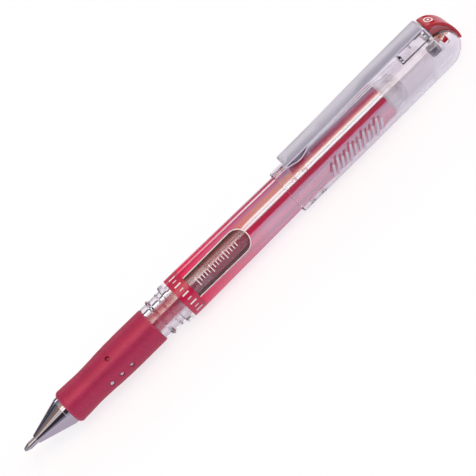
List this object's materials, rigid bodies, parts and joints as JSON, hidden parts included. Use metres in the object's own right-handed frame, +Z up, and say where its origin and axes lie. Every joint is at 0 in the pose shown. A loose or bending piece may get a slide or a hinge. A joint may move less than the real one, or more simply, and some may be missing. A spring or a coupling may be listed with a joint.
{
  "type": "gel pen",
  "caption": "Capped gel pen with a rubber grip, chromed nose cone, see-through window barrel, refill, and a clear cap with a sprung metal pocket clip, posted on the tail.",
  "frame": {"origin": "centre of the box round the pen with the cap posted, on its underside, where the cap's mouth meets the table", "axes": "+X runs along the pen from the writing point to the cap's closed end, +Z is up through the clip, and +Y is across the pen"},
  "size_m": [0.1602, 0.0139, 0.0167],
  "materials": {
    "carbide": "polished",
    "nickel_silver": "turned",
    "white_plastic": "smooth",
    "tube_plastic": "translucent",
    "gel_ink": "wet",
    "follower_grease": "clear grease",
    "chromed_metal": "polished",
    "clear_plastic": "clear moulded",
    "grip_rubber": "satin, pearl flecked",
    "band_print": "printed film",
    "crimson_foil": "metallised film",
    "cap_plastic": "clear moulded, faint lilac",
    "seal_rubber": "soft",
    "red_plastic": "glossy moulded",
    "clip_steel": "satin plated"
  },
  "bodies": {
    "barrel": {"barrel": "clear_plastic", "print_band": "band_print", "foil_sleeve": "crimson_foil", "tail_plug": "clear_plastic"},
    "refill": {"writing_tip": "nickel_silver", "tip_holder": "white_plastic", "reservoir_tube": "tube_plastic", "ink": "gel_ink", "ink_follower": "follower_grease"},
    "ball": {"ball": "carbide"},
    "front": {"front_section": "clear_plastic", "grip_sleeve": "grip_rubber", "nose_cone": "chromed_metal"},
    "cap": {"cap_shell": "cap_plastic", "inner_cap": "cap_plastic", "tip_seal": "seal_rubber", "end_plug": "red_plastic"},
    "clip": {"clip": "clip_steel"}
  },
  "joints": [
    {"name": "refill_advance", "type": "slide", "parent": "barrel", "child": "refill", "axis": [-1, 0, 0], "range_m": [0, 0.005]},
    {"name": "front_unscrew", "type": "hinge", "parent": "refill", "child": "front", "pos_m": [-0.0301, 0, 0.00685], "axis": [-1, 0, 0], "range_deg": [0, 1800.1]},
    {"name": "ball_roll", "type": "hinge", "parent": "refill", "child": "ball", "pos_m": [-0.0796, 0, 0.00685], "axis": [0, 1, 0], "continuous": true},
    {"name": "cap_pull", "type": "slide", "parent": "barrel", "child": "cap", "axis": [1, 0, 0], "range_m": [0, 0.045]},
    {"name": "clip_flex", "type": "hinge", "parent": "cap", "child": "clip", "pos_m": [0.07335, 0, 0.0162], "axis": [0, 1, 0], "range_deg": [0, 3], "stiffness_Nm_per_rad": 1}
  ],
  "couplings": [
    {"joint": "front_unscrew", "follows": "refill_advance", "rad_per_m": 6283.2}
  ]
}
